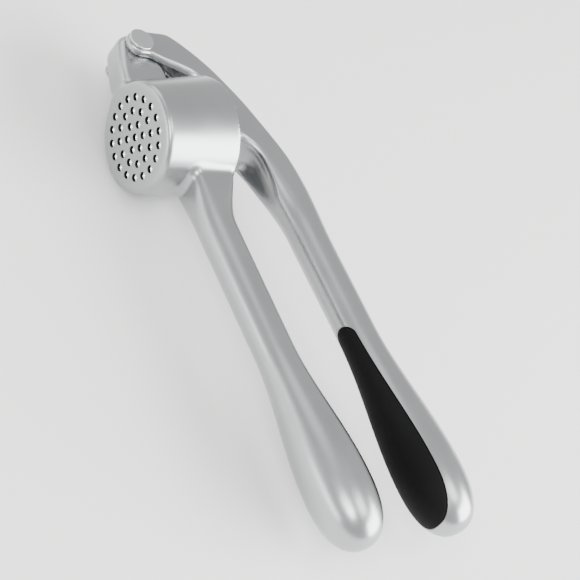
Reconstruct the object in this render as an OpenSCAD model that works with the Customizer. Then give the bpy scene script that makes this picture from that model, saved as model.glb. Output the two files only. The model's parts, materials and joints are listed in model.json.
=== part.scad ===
// Garlic press: a cast hopper handle, a forked upper handle and a swinging plunger.
// The origin is the centre of the drilled face. X runs along the handles,
// Y runs up the hopper bore and Z runs along the hinge pin.

/* [Hopper] */
// Height of the hopper from the drilled face to its mouth
hopper_h = 27.5; // [25:0.5:33]
// Outer radius of the hopper at the drilled face
hopper_face_r = 17.9; // [16.8:0.1:21.5]
// Outer radius of the hopper at its mouth
hopper_mouth_r = 19.7; // [18:0.1:23.5]
// Rounding between the drilled face and the side
face_round = 2.4; // [1:0.1:3]
// Radius of the bore at the drilled face
bore_floor_r = 14.4; // [12:0.1:14.9]
// Radius of the bore at the mouth
bore_mouth_r = 15.8; // [15.5:0.1:17]
// Bevel round the inside of the mouth
mouth_bevel = 0.8; // [0.4:0.1:1]
// Thickness of the drilled face
sieve_t = 3; // [2:0.1:4]

/* [Drilled holes] */
// Diameter of each hole
hole_d = 2.3; // [1.5:0.1:2.8]
// Distance between neighbouring rings of holes
hole_pitch = 4.25; // [3.5:0.1:4.4]
// Rings of holes round the middle one
hole_rings = 3; // [1:1:3]
// Turn of the hole pattern about the bore
hole_turn = 59; // [0:1:60]

/* [Hinge] */
// Distance from the bore axis back to the hinge pin
hinge_back = 33.6; // [31:0.1:41]
// Height of the hinge pin above the drilled face
hinge_up = 12.4; // [10:0.1:15]
// Radius of the rounded ends that the pin passes through
hinge_end_r = 6.1; // [5:0.1:7.4]
// Width of the lug on the hopper
lug_w = 10.8; // [8:0.1:13]
// Height of the lug above the hinge line where it meets the hopper
lug_rise = 6.6; // [4:0.1:7.5]
// Thickness of each cheek of the fork
cheek_t = 2.1; // [1.6:0.1:3]
// Thickness of each hinge washer
washer_t = 0.4; // [0.3:0.1:1]
// Radius of each hinge washer
washer_r = 5; // [4:0.1:6]
// Radius of the hinge pin
pin_r = 2.5; // [1.8:0.1:3]
// Radius of the pin heads
pin_head_r = 4.3; // [3.6:0.1:5.2]
// Height of the pin heads above the cheeks
pin_head_h = 1.3; // [0.8:0.1:2]
// Depth of the dish in each pin head
pin_dish = 0.35; // [0.1:0.05:0.6]

/* [Handles] */
// Distance from the bore axis to the end of the handles
handle_end = 149.8; // [130:0.1:180]
// Radius of a handle at its slimmest
shank_r = 6.4; // [5.3:0.1:7.7]
// Radius of the swelling at the end of a handle
bulge_r = 10.85; // [9:0.05:13]
// Distance from the end of a handle back to its fattest place
bulge_back = 19.8; // [15:0.1:24]
// Length over which a handle swells
swell_len = 52; // [40:1:62]
// Height of the lower handle's axis above the drilled face
lower_axis_y = 15.8; // [14:0.1:17]
// Height of the upper handle's axis above the hopper's mouth
upper_axis_rise = 24.2; // [23:0.1:30]
// Slope of the upper handle's axis away from the lower one
upper_rise = 1.2; // [0:0.1:3]
// Thickness of the wall over the channel in the upper handle
channel_roof = 3.2; // [2:0.1:4]
// Gap between the hopper's mouth and the fork above it
mouth_gap = 1; // [0.6:0.1:2]
// Depth of the fork from its back to its lower edge, above the hopper
fork_depth = 12.1; // [11:0.1:14]
// Width of the bevel along the back edges of the fork
back_bevel = 1.8; // [0.5:0.1:2]
// Width of the bevel along the lower edges of the fork
edge_bevel = 0.7; // [0.2:0.1:1]

/* [Grip pads] */
// Depth of the pads in the handles
pad_t = 1.6; // [1:0.1:2.4]
// Half the width of a pad near its slim end
pad_slim_w = 4; // [3:0.1:4.6]
// Half the width of a pad at its widest
pad_wide_w = 9.15; // [7:0.05:9.4]
// Length of a pad
pad_len = 70.5; // [55:0.5:76]
// Distance from the end of a pad to the end of the handle
pad_end_gap = 3.5; // [3:0.1:10]

/* [Plunger] */
// Radial gap between the plunger's crowned edge and the narrow end of the bore
plunger_gap = 0.6; // [0.5:0.05:1]
// Thickness of the plunger's plate
plunger_t = 5; // [4:0.1:6.5]
// Height of the plunger's pin above the drilled face
plunger_pin_y = 18; // [16:0.1:20]
// Offset of the plunger towards the hinge, which centres its swing in the bore
plunger_offset = 0.4; // [0.3:0.05:0.45]
// Radius of the plunger's pin
plunger_pin_r = 1.5; // [1.2:0.1:2]
// Radius of the ears and the post end round the plunger's pin
ear_r = 3.5; // [3:0.1:4]
// Thickness of each ear of the plunger
ear_t = 2; // [1.5:0.1:2.5]
// Width of the post that carries the plunger
post_w = 5; // [4:0.1:6]

/* [Clearances] */
// Radial play of a pin in the hole that turns on it
running_gap = 0.05; // [0.03:0.01:0.1]
// Radial play of a pin in the hole that holds it
seat_gap = 0.02; // [0.01:0.01:0.05]
// Side play between pieces that turn beside each other
side_gap = 0.1; // [0.05:0.05:0.3]
// Gap between the closed plunger and the drilled face
face_gap = 0.4; // [0.3:0.1:1]
// Gap between a pad and the handle round it
pad_gap = 0.08; // [0.02:0.01:0.1]
// Side play between the plunger's ears and the post
ear_gap = 0.3; // [0.2:0.05:0.5]

/* [Hidden] */
$fn = 72;

casting = "#b9bbbc";
pin_steel = "#c9cbcc";
pad_black = "#141414";
washer_white = "#e8e6df";

// How far a cut runs past the surface that it opens
cut = 1;

// Steps along round ends, along free curves, along small roundings and round a loft's rings
arc_steps = 16;
curve_steps = 10;
round_steps = 6;
ring_points = 32;

// Hinge: the fork's cheeks stand beside the washers
hinge = [-hinge_back, hinge_up];
cheek_in = lug_w / 2 + washer_t + 2 * side_gap;
fork_half = cheek_in + cheek_t;

// Lug: rooted in the hopper's wall, with a lower edge that sweeps down to the drilled face
lug_root_x = bore_floor_r + 1.5;
lug_low_y = 2;
lug_end_angle = 256;
lug_hinge_pull = [6, -8];
lug_face_pull = [-4, 0.6];

// Handles: where they turn round and fully swollen, and the shape of their ends
lower_round_x = 38;
upper_round_x = 46;
bulge_x = handle_end - bulge_back;
swell_x = bulge_x - swell_len;
end_power = 2.4;
tip_r = 1;
swell_steps = 14;
end_steps = 10;
upper_axis_y = hopper_h + upper_axis_rise;

// Necks: they start inside what carries them and end inside the round handles
neck_fit = 0.985;
neck_lap = 0.6;
neck_drop = 0.15;
neck_sink = 0.5;
neck_low_y = 10.6;
neck_half_w = 6.9;
neck_power = 5;
neck_bend = 0.7;
lower_steps = 8;
upper_steps = 12;

// Grip pads
pad_far = handle_end - pad_end_gap;
pad_near = pad_far - pad_len;
pad_end_len = bulge_back - pad_end_gap;
pad_low_y = 3.5;
pad_steps = 16;
pad_round_steps = 8;

// Fork: its join with the neck, the shoulder of its back and its corner at the hopper's mouth
fork_x = -8;
fork_low_y = hopper_h + 6.7;
fork_back_y = fork_low_y + fork_depth;
fork_power = 6;
shoulder = [hinge[0] + 12, fork_back_y - 6.6];
shoulder_pull = [9, 5];
back_rise = 15;
rim = [-hopper_mouth_r + 1.4, hopper_h + mouth_gap];
rim_pull = [3.2, 5];
throat_pull = [hinge_end_r + 1.5, 5.6];
throat_angle = 20;
cheek_start = 10;

// Channel: open behind the lug, and closed by a scoop under the handle
channel_mouth = 20;
channel_lip = [-3, hinge_end_r + 0.6];
channel_step = 4.4;
channel_pull = [1, 16];
channel_shoulder_pull = [6, 4];
channel_end_x = 21;
scoop_run = 5;
scoop_crown = [15, 4.5];

// Plunger, its ears and the post between them
plunger_r = bore_floor_r - plunger_gap;
disc_y = sieve_t + face_gap + plunger_t / 2;
disc_top = disc_y + plunger_t / 2;
crown_steps = 8;
ear_in = post_w / 2 + ear_gap;
ear_flare = 1.5;
ear_sink = 1;
post_sink = [0.5, 1.5];
plunger_pin_len = 2 * (ear_in + ear_t);

// Pin heads
head_foot = 0.2;
head_round = 0.4;
dish_r = pin_head_r - 2 * head_round;

function smooth(t) = t <= 0 ? 0 : t >= 1 ? 1 : t * t * (3 - 2 * t);
function mix(a, b, t) = a + (b - a) * t;
function polar(r, a) = r * [cos(a), sin(a)];

// Points along a curve from a to d, without the first one
function bezier(a, b, c, d) = [
    for (i = [1 : curve_steps])
        let (t = i / curve_steps, s = 1 - t)
        s * s * s * a + 3 * s * s * t * b + 3 * s * t * t * c + t * t * t * d
];
function arc(centre, r, from, to, n = arc_steps) = [
    for (i = [0 : n]) centre + polar(r, mix(from, to, i / n))
];

// Quarter of a superellipse, from full height at t = 0 to nothing at t = 1
function round_off(t) = pow(1 - pow(min(1, max(0, t)), end_power), 1 / end_power);

// Radius of a handle at a distance from the bore axis
function handle_r(x) =
    x <= bulge_x
        ? mix(shank_r, bulge_r, smooth((x - swell_x) / swell_len))
        : bulge_r * round_off((x - bulge_x) / bulge_back);

// Profile of a handle from a start to its end, thinned by an amount all round
function handle_profile(start, thin) = concat(
    [[start, 0], [start, handle_r(start) - thin]],
    [for (i = [0 : swell_steps]) let (x = mix(swell_x, bulge_x, i / swell_steps))
        [x, handle_r(x) - thin]],
    [for (i = [1 : end_steps - 1]) let (t = sin(90 * i / end_steps))
        [bulge_x + (bulge_back - thin) * t, (bulge_r - thin) * round_off(t)]],
    [[handle_end - thin, tip_r], [handle_end - thin, 0]]
);

// Half width of a grip pad at a distance from the bore axis
function pad_half(x) =
    let (
        body = mix(pad_slim_w, pad_wide_w, smooth((x - pad_near) / (pad_far - pad_end_len - pad_near))),
        near = min(1, (x - pad_near) / pad_slim_w)
    )
    body * sqrt(1 - pow(1 - near, 2)) * round_off((x - pad_far + pad_end_len) / pad_end_len);

// Distances at which a pad's outline has points, closer together at its rounded ends
pad_stations = concat(
    [for (i = [0 : pad_round_steps]) pad_near + pad_slim_w * (1 - cos(90 * i / pad_round_steps))],
    [for (i = [1 : pad_steps]) mix(pad_near + pad_slim_w, pad_far - pad_end_len, i / pad_steps)],
    [for (i = [1 : pad_round_steps]) pad_far - pad_end_len * (1 - sin(90 * i / pad_round_steps))]
);

// Superellipse ring across a handle: round at power 2 and boxy at a higher one
function ring(x, low, high, half_w, power) = [
    for (i = [0 : ring_points - 1])
        let (a = 360 * i / ring_points, c = cos(a), s = sin(a))
        [
            x,
            (low + high) / 2 + (high - low) / 2 * sign(s) * pow(abs(s), 2 / power),
            half_w * sign(c) * pow(abs(c), 2 / power)
        ]
];

// Solid skin through a row of rings, each with as many points as the first
module loft(rings) {
    n = len(rings[0]);
    last = (len(rings) - 1) * n;
    polyhedron(
        [for (r = rings) each r],
        concat(
            [[for (i = [n - 1 : -1 : 0]) i]],
            [for (k = [0 : len(rings) - 2], i = [0 : n - 1])
                [k * n + i, k * n + (i + 1) % n, (k + 1) * n + (i + 1) % n, (k + 1) * n + i]],
            [[for (i = [0 : n - 1]) last + i]]
        )
    );
}

// Turns a revolved profile so that its axis is Y
module along_y() {
    rotate([-90, 0, 0]) children();
}

module at_hinge() {
    translate([hinge[0], hinge[1], 0]) children();
}

module at_plunger_pin() {
    translate([-plunger_offset, plunger_pin_y, 0]) children();
}

module place_lower() {
    translate([0, lower_axis_y, 0]) children();
}

// The upper handle's axis is tilted about the place where its round part starts
module place_upper() {
    translate([upper_round_x, upper_axis_y, 0])
        rotate([0, 0, upper_rise])
            translate([-upper_round_x, 0, 0])
                children();
}

// Round part of a handle, from a start to its rounded end
module round_handle(start, thin = 0) {
    rotate([0, 90, 0])
        rotate_extrude()
            polygon([for (p = handle_profile(start, thin)) [p[1], p[0]]]);
}

// Upright teardrop prism that bounds a grip pad, grown by an amount
module pad_prism(grow) {
    middle = pad_far - pad_len / 2;
    side = [for (x = pad_stations) [x + grow * (x - middle) / (pad_len / 2), pad_half(x) + grow]];
    other = [for (i = [len(side) - 1 : -1 : 0]) [side[i][0], -side[i][1]]];
    rotate([-90, 0, 0]) translate([0, 0, pad_low_y - grow])
        linear_extrude(2 * bulge_r) polygon(concat(side, other));
}

// Grip pad, flush with the outer skin of a handle
module grip_pad() {
    intersection() {
        difference() {
            round_handle(upper_round_x);
            round_handle(upper_round_x - cut, pad_t);
        }
        pad_prism(0);
    }
}

// Recess that a grip pad lies in, open outwards
module pad_recess() {
    difference() {
        pad_prism(pad_gap);
        round_handle(upper_round_x - cut, pad_t + pad_gap);
    }
}

module hopper_outside() {
    along_y() rotate_extrude() polygon(concat(
        [[0, 0]],
        arc([hopper_face_r - face_round, face_round], face_round, -90, 0, round_steps),
        [[hopper_mouth_r, hopper_h], [0, hopper_h]]
    ));
}

module hopper_bore() {
    mouth_r = bore_mouth_r + mouth_bevel;
    along_y() rotate_extrude() polygon([
        [0, sieve_t], [bore_floor_r, sieve_t], [bore_mouth_r, hopper_h - mouth_bevel],
        [mouth_r, hopper_h], [mouth_r, hopper_h + cut], [0, hopper_h + cut]
    ]);
}

module sieve_hole() {
    cylinder(h = sieve_t + 2 * cut, r = hole_d / 2, $fn = 24);
}

module sieve_holes() {
    along_y() translate([0, 0, -cut]) {
        sieve_hole();
        for (ring = [1 : hole_rings], k = [0 : 6 * ring - 1])
            rotate([0, 0, hole_turn + 60 * k / ring])
                translate([ring * hole_pitch, 0, 0])
                    sieve_hole();
    }
}

// Lug that joins the hopper to the hinge pin
module hinge_lug() {
    foot = [-hopper_face_r + 2, lug_low_y];
    linear_extrude(lug_w, center = true) polygon(concat(
        arc(hinge, hinge_end_r, 90, lug_end_angle),
        bezier(hinge + polar(hinge_end_r, lug_end_angle), hinge + lug_hinge_pull, foot + lug_face_pull, foot),
        [[-lug_root_x, lug_low_y + lug_rise], [-lug_root_x, hinge[1] + lug_rise]]
    ));
}

// Ring of the neck that grows from the side of the hopper into the lower handle
function lower_ring(t) =
    let (r = neck_fit * handle_r(lower_round_x))
    ring(
        mix(bore_mouth_r - neck_sink, lower_round_x + neck_lap, t),
        mix(neck_low_y, lower_axis_y - r, smooth(t)),
        mix(hopper_h - neck_drop, lower_axis_y + r, smooth(pow(t, neck_bend))),
        mix(neck_half_w, r, smooth(t)),
        mix(neck_power, 2, smooth(t))
    );

module hopper_handle() {
    color(casting)
    difference() {
        union() {
            hopper_outside();
            hinge_lug();
            loft([for (i = [0 : lower_steps]) lower_ring(i / lower_steps)]);
            place_lower() round_handle(lower_round_x);
        }
        hopper_bore();
        sieve_holes();
        at_hinge() cylinder(h = lug_w + 2 * cut, r = pin_r + running_gap, center = true);
        place_lower() pad_recess();
    }
}

// Gives each point of an outline the bevel of its edge
function bevelled(points, bevel) = [for (p = points) [p[0], p[1], bevel]];

// Side outline of the fork, open over the hopper's mouth, as [x, y, bevel] points
fork_outline = concat(
    bevelled(arc(hinge, hinge_end_r, cheek_start, -180), edge_bevel),
    bevelled(bezier(hinge - [hinge_end_r, 0], hinge + [-hinge_end_r, back_rise],
        shoulder - shoulder_pull, shoulder), back_bevel),
    bevelled([[fork_x, fork_back_y]], back_bevel),
    bevelled([[fork_x, fork_low_y], rim], edge_bevel),
    bevelled(bezier(rim, rim - rim_pull, hinge + throat_pull,
        hinge + polar(hinge_end_r, throat_angle)), edge_bevel)
);

// Ring of the fork at a height along the pin, drawn in by a share of its bevels
function fork_ring(z, share) = [
    for (i = [0 : len(fork_outline) - 1])
        let (
            n = len(fork_outline),
            p = fork_outline[i],
            run = fork_outline[(i + 1) % n] - fork_outline[(i + n - 1) % n],
            inwards = [run[1], -run[0]] / norm([run[0], run[1]])
        )
        [p[0] + share * p[2] * inwards[0], p[1] + share * p[2] * inwards[1], z]
];

module fork() {
    loft([
        fork_ring(-fork_half, 1),
        fork_ring(back_bevel - fork_half, 0),
        fork_ring(fork_half - back_bevel, 0),
        fork_ring(fork_half, 1)
    ]);
}

// Ring of the neck that runs from the fork into the upper handle
function upper_ring(t) =
    let (r = neck_fit * shank_r, rise = sin(90 * t))
    ring(
        mix(fork_x - neck_lap, upper_round_x + neck_lap, t),
        mix(fork_low_y + neck_drop, upper_axis_y - r, rise),
        mix(fork_back_y - neck_drop, upper_axis_y + r, rise),
        mix(neck_fit * fork_half, r, smooth(t)),
        mix(fork_power, 2, smooth(2 * t))
    );

// Side outline of the hollow between the cheeks
module channel_side() {
    start = hinge + channel_lip + [0, channel_step];
    roof = [fork_x, fork_back_y - channel_roof];
    far = channel_end_x + scoop_run;
    polygon(concat(
        [hinge - [channel_mouth, channel_mouth], hinge + [-channel_mouth, channel_lip[1]],
            hinge + channel_lip, start],
        bezier(start, hinge + channel_pull, shoulder - channel_shoulder_pull - [0, channel_roof],
            shoulder + [1, -channel_roof]),
        [roof],
        bezier(roof, roof + scoop_crown, [channel_end_x - scoop_run, fork_back_y], [far, fork_low_y]),
        [[far, hinge[1] - channel_mouth]]
    ));
}

// Plan of the hollow, with a round end under the handle
module channel_plan() {
    back = hinge[0] - channel_mouth;
    bend = fork_x + 8;
    polygon(concat(
        [[back, -cheek_in], [fork_x, -cheek_in]],
        bezier([fork_x, -cheek_in], [bend, -cheek_in], [channel_end_x, -cheek_in], [channel_end_x, 0]),
        bezier([channel_end_x, 0], [channel_end_x, cheek_in], [bend, cheek_in], [fork_x, cheek_in]),
        [[back, cheek_in]]
    ));
}

// Hollow between the cheeks, open below, that ends in a scoop under the handle
module channel() {
    intersection() {
        linear_extrude(2 * cheek_in, center = true) channel_side();
        rotate([90, 0, 0]) linear_extrude(4 * fork_back_y, center = true) channel_plan();
    }
}

// Post that hangs from the roof of the channel and carries the plunger's pin
module plunger_post() {
    x = -plunger_offset;
    half = ear_r + ear_flare;
    linear_extrude(post_w, center = true) polygon(concat(
        arc([x, plunger_pin_y], ear_r, -180, 0),
        [[x + half, fork_back_y - post_sink[0]], [x - half, fork_back_y - post_sink[1]]]
    ));
}

module upper_handle() {
    color(casting)
    difference() {
        union() {
            difference() {
                union() {
                    fork();
                    loft([for (i = [0 : upper_steps]) upper_ring(i / upper_steps)]);
                }
                channel();
            }
            plunger_post();
            place_upper() round_handle(upper_round_x);
        }
        at_hinge() cylinder(h = 2 * (fork_half + cut), r = pin_r + seat_gap, center = true);
        at_plunger_pin() cylinder(h = post_w + 2 * cut, r = plunger_pin_r + seat_gap, center = true);
        place_upper() mirror([0, 1, 0]) pad_recess();
    }
}

// Shallow dished head of the hinge pin, drawn upwards from Z = 0
module pin_head() {
    rotate_extrude() polygon(concat(
        [[0, 0], [pin_head_r - head_foot, 0], [pin_head_r, head_foot]],
        arc([pin_head_r - head_round, pin_head_h - head_round], head_round, 0, 90, round_steps),
        [for (i = [0 : round_steps]) let (t = 1 - i / round_steps)
            [dish_r * t, pin_head_h - pin_dish * (1 - t * t)]]
    ));
}

// Pin through both cheeks, with one head of its own
module hinge_pin() {
    color(pin_steel) at_hinge() {
        cylinder(h = 2 * fork_half, r = pin_r, center = true);
        translate([0, 0, fork_half]) pin_head();
    }
}

// Second head, set on the pin's plain end
module hinge_pin_cap() {
    color(pin_steel) at_hinge() mirror([0, 0, 1]) translate([0, 0, fork_half]) pin_head();
}

module washer() {
    color(washer_white) difference() {
        cylinder(h = washer_t, r = washer_r);
        translate([0, 0, -cut]) cylinder(h = washer_t + 2 * cut, r = pin_r + running_gap);
    }
}

module front_washer() {
    at_hinge() translate([0, 0, lug_w / 2 + side_gap]) washer();
}

module back_washer() {
    at_hinge() translate([0, 0, -lug_w / 2 - side_gap - washer_t]) washer();
}

// Plate with a crowned edge, so that it can tilt in the bore
module plunger_plate() {
    crown = [for (i = [0 : crown_steps]) let (h = plunger_t * (i / crown_steps - 0.5))
        [sqrt(plunger_r * plunger_r - h * h), h]];
    translate([-plunger_offset, disc_y, 0]) along_y() rotate_extrude()
        polygon(concat([[0, -plunger_t / 2]], crown, [[0, plunger_t / 2]]));
}

module plunger_ear() {
    x = -plunger_offset;
    half = ear_r + ear_flare;
    linear_extrude(ear_t) polygon(concat(
        arc([x, plunger_pin_y], ear_r, 180, 0),
        [[x + half, disc_top - ear_sink], [x - half, disc_top - ear_sink]]
    ));
}

module plunger() {
    color(casting)
    difference() {
        union() {
            plunger_plate();
            translate([0, 0, ear_in]) plunger_ear();
            translate([0, 0, -ear_in - ear_t]) plunger_ear();
        }
        at_plunger_pin()
            cylinder(h = plunger_pin_len + 2 * cut, r = plunger_pin_r + running_gap, center = true);
    }
}

module plunger_pin() {
    color(pin_steel) at_plunger_pin() cylinder(h = plunger_pin_len, r = plunger_pin_r, center = true);
}

module lower_grip_pad() {
    color(pad_black) place_lower() grip_pad();
}

module upper_grip_pad() {
    color(pad_black) place_upper() mirror([0, 1, 0]) grip_pad();
}

hopper_handle();
upper_handle();
hinge_pin();
hinge_pin_cap();
front_washer();
back_washer();
plunger();
plunger_pin();
lower_grip_pad();
upper_grip_pad();
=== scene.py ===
"""Looks of a die-cast garlic press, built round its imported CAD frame.

The two castings are smooth distance fields that are turned into meshes, so that the
hopper, lug, neck and fork run into each other with real fillets. The 37 drilled holes
come from a Geometry Nodes tree, and the grip pads lie in recesses with a fine bevel.
Lengths inside the classes are millimetres in the frame of the part. They become metres
when a mesh is made.
"""

from __future__ import annotations

import json
import logging
import math
from dataclasses import dataclass, field
from enum import Enum
from typing import Any, Callable, Sequence

import bmesh
import bpy
import numpy as np
from mathutils import Matrix, Vector

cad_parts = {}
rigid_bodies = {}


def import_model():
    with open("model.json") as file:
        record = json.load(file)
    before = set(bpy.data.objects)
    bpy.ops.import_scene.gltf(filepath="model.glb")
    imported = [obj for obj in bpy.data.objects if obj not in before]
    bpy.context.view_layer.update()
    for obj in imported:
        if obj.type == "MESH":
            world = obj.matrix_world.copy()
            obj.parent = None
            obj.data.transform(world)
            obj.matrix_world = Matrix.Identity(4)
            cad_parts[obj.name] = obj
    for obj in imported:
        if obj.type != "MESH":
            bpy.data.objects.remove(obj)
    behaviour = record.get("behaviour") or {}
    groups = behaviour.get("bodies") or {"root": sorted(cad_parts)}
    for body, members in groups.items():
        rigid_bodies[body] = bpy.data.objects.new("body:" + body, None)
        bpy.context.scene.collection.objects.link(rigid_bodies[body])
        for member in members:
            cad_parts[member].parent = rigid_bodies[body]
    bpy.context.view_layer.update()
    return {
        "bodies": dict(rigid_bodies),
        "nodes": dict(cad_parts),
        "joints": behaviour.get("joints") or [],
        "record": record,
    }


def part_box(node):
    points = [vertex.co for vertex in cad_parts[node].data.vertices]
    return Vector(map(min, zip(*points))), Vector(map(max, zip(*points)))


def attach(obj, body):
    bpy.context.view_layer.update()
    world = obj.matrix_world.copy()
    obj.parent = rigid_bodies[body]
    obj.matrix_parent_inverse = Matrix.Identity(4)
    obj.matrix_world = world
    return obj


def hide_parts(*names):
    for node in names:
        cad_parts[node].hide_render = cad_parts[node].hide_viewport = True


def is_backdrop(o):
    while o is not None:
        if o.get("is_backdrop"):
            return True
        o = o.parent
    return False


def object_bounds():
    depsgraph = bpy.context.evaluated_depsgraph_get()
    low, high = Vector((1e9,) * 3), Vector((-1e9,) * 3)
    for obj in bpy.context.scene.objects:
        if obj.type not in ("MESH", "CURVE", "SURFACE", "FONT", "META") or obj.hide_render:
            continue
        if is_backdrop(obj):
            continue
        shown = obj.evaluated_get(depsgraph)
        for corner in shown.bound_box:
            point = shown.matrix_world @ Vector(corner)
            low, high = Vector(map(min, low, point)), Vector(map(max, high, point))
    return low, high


LOG = logging.getLogger("garlic_press")
MM = 0.001
TINY = 1e-12

Array = np.ndarray
Distance = Callable[[Array], Array]
Material = bpy.types.Material
Object = bpy.types.Object
Socket = bpy.types.NodeSocket
Tree = bpy.types.NodeTree


class Body(str, Enum):
    """Moving bodies of the press."""

    LOWER = "lower"
    UPPER = "upper"
    PLUNGER = "plunger"


class Slot(str, Enum):
    """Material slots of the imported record."""

    CASTING = "satin_casting"
    STEEL = "pin_steel"
    WASHER = "washer_plastic"
    GRIP = "grip_rubber"


class Side(Enum):
    """Side of a handle that its grip pad lies in, as the sign of Y."""

    UP = 1.0
    DOWN = -1.0


# ---------------------------------------------------------------- distances


def smooth(t: Array) -> Array:
    """Return a soft step from 0 to 1 as t runs from 0 to 1."""
    t = np.clip(t, 0.0, 1.0)
    return t * t * (3.0 - 2.0 * t)


def mix(a: Any, b: Any, t: Any) -> Any:
    """Return the value a share t of the way from a to b."""
    return a + (b - a) * t


def round_max(a: Array, b: Array, r: Any) -> Array:
    """Intersect two distances and round the edge between them.

    Args:
        a: First signed distance.
        b: Second signed distance.
        r: Radius of the edge, one value or one for each point.

    Returns:
        The signed distance of what both hold.
    """
    ar, br = a + r, b + r
    inner = np.minimum(np.maximum(ar, br), 0.0)
    return inner + np.hypot(np.maximum(ar, 0.0), np.maximum(br, 0.0)) - r


def round_min(a: Array, b: Array, r: Any) -> Array:
    """Join two distances with a fillet of radius r between them."""
    return -round_max(-a, -b, r)


def spline(knots: Sequence[tuple[float, float]], steps: int) -> Array:
    """Return points along a smooth curve through knots.

    Args:
        knots: Points that the curve passes through.
        steps: Points on each stretch between two knots.

    Returns:
        The points, with the first and the last knot.
    """
    k = np.array(knots, float)
    k = np.vstack([2 * k[0] - k[1], k, 2 * k[-1] - k[-2]])
    t = np.linspace(0.0, 1.0, steps, endpoint=False)[:, None]
    rows = []
    for a, b, c, d in zip(k[:-3], k[1:-2], k[2:-1], k[3:]):
        rows.append(
            0.5
            * (2 * b + (c - a) * t + (2 * a - 5 * b + 4 * c - d) * t**2 + (3 * b - a - 3 * c + d) * t**3)
        )
    return np.vstack([*rows, k[-2]])


def arc(centre: Sequence[float], r: float, start: float, end: float, steps: int = 24) -> Array:
    """Return points along an arc, with its angles in degrees."""
    a = np.radians(np.linspace(start, end, steps))
    return np.array(centre) + r * np.stack([np.cos(a), np.sin(a)], 1)


@dataclass(frozen=True)
class Course:
    """Size that runs softly from one value to the next along a coordinate.

    Each step holds the value that it reaches, where it starts and how long it takes.
    """

    first: float
    steps: tuple[tuple[float, float, float], ...]

    @classmethod
    def share(cls, start: float, length: float) -> Course:
        """Return the course of a share that runs from 0 to 1."""
        return cls(0.0, ((1.0, start, length),))

    def at(self, place: Array) -> Array:
        """Return the size at places along the coordinate.

        Args:
            place: Coordinate of each point.

        Returns:
            The size at each point.
        """
        size = self.first
        for goal, start, length in self.steps:
            size = mix(size, goal, smooth((place - start) / length))
        return size


@dataclass
class Profile:
    """Signed distance to a closed outline in the X-Y plane, sampled once on a fine grid."""

    outline: Array
    margin: float = 6.0
    pitch: float = 0.25
    rim: float = 1.001
    origin: Array = field(init=False)
    table: Array = field(init=False)

    def __post_init__(self) -> None:
        """Sample the distance to the outline on the grid."""
        self.origin = self.outline.min(0) - self.margin
        top = self.outline.max(0) + self.margin
        shape = np.ceil((top - self.origin) / self.pitch).astype(int) + 1
        xs, ys = (self.origin[i] + self.pitch * np.arange(shape[i]) for i in (0, 1))
        px, py = np.meshgrid(xs, ys, indexing="ij")
        best = np.full(px.shape, np.inf)
        odd = np.zeros(px.shape, bool)
        for (ax, ay), (bx, by) in zip(self.outline, np.roll(self.outline, -1, 0)):
            ex, ey = bx - ax, by - ay
            span = ex * ex + ey * ey
            if span < TINY:
                continue
            t = np.clip(((px - ax) * ex + (py - ay) * ey) / span, 0.0, 1.0)
            best = np.minimum(best, np.hypot(px - ax - t * ex, py - ay - t * ey))
            if ey:
                crosses = ((ay > py) != (by > py)) & (px < ax + ex * (py - ay) / ey)
                odd ^= crosses
        self.table = np.where(odd, -best, best)

    def __call__(self, x: Array, y: Array) -> Array:
        """Return the distance at points, with a smooth blend between the samples.

        Args:
            x: X of the points.
            y: Y of the points.

        Returns:
            The signed distance of each point.
        """
        u = np.clip((x - self.origin[0]) / self.pitch, 0, self.table.shape[0] - self.rim)
        v = np.clip((y - self.origin[1]) / self.pitch, 0, self.table.shape[1] - self.rim)
        i, j = u.astype(int), v.astype(int)
        u, v = u - i, v - j
        t = self.table
        return mix(mix(t[i, j], t[i + 1, j], u), mix(t[i, j + 1], t[i + 1, j + 1], u), v)


# ---------------------------------------------------------------- meshing


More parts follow.
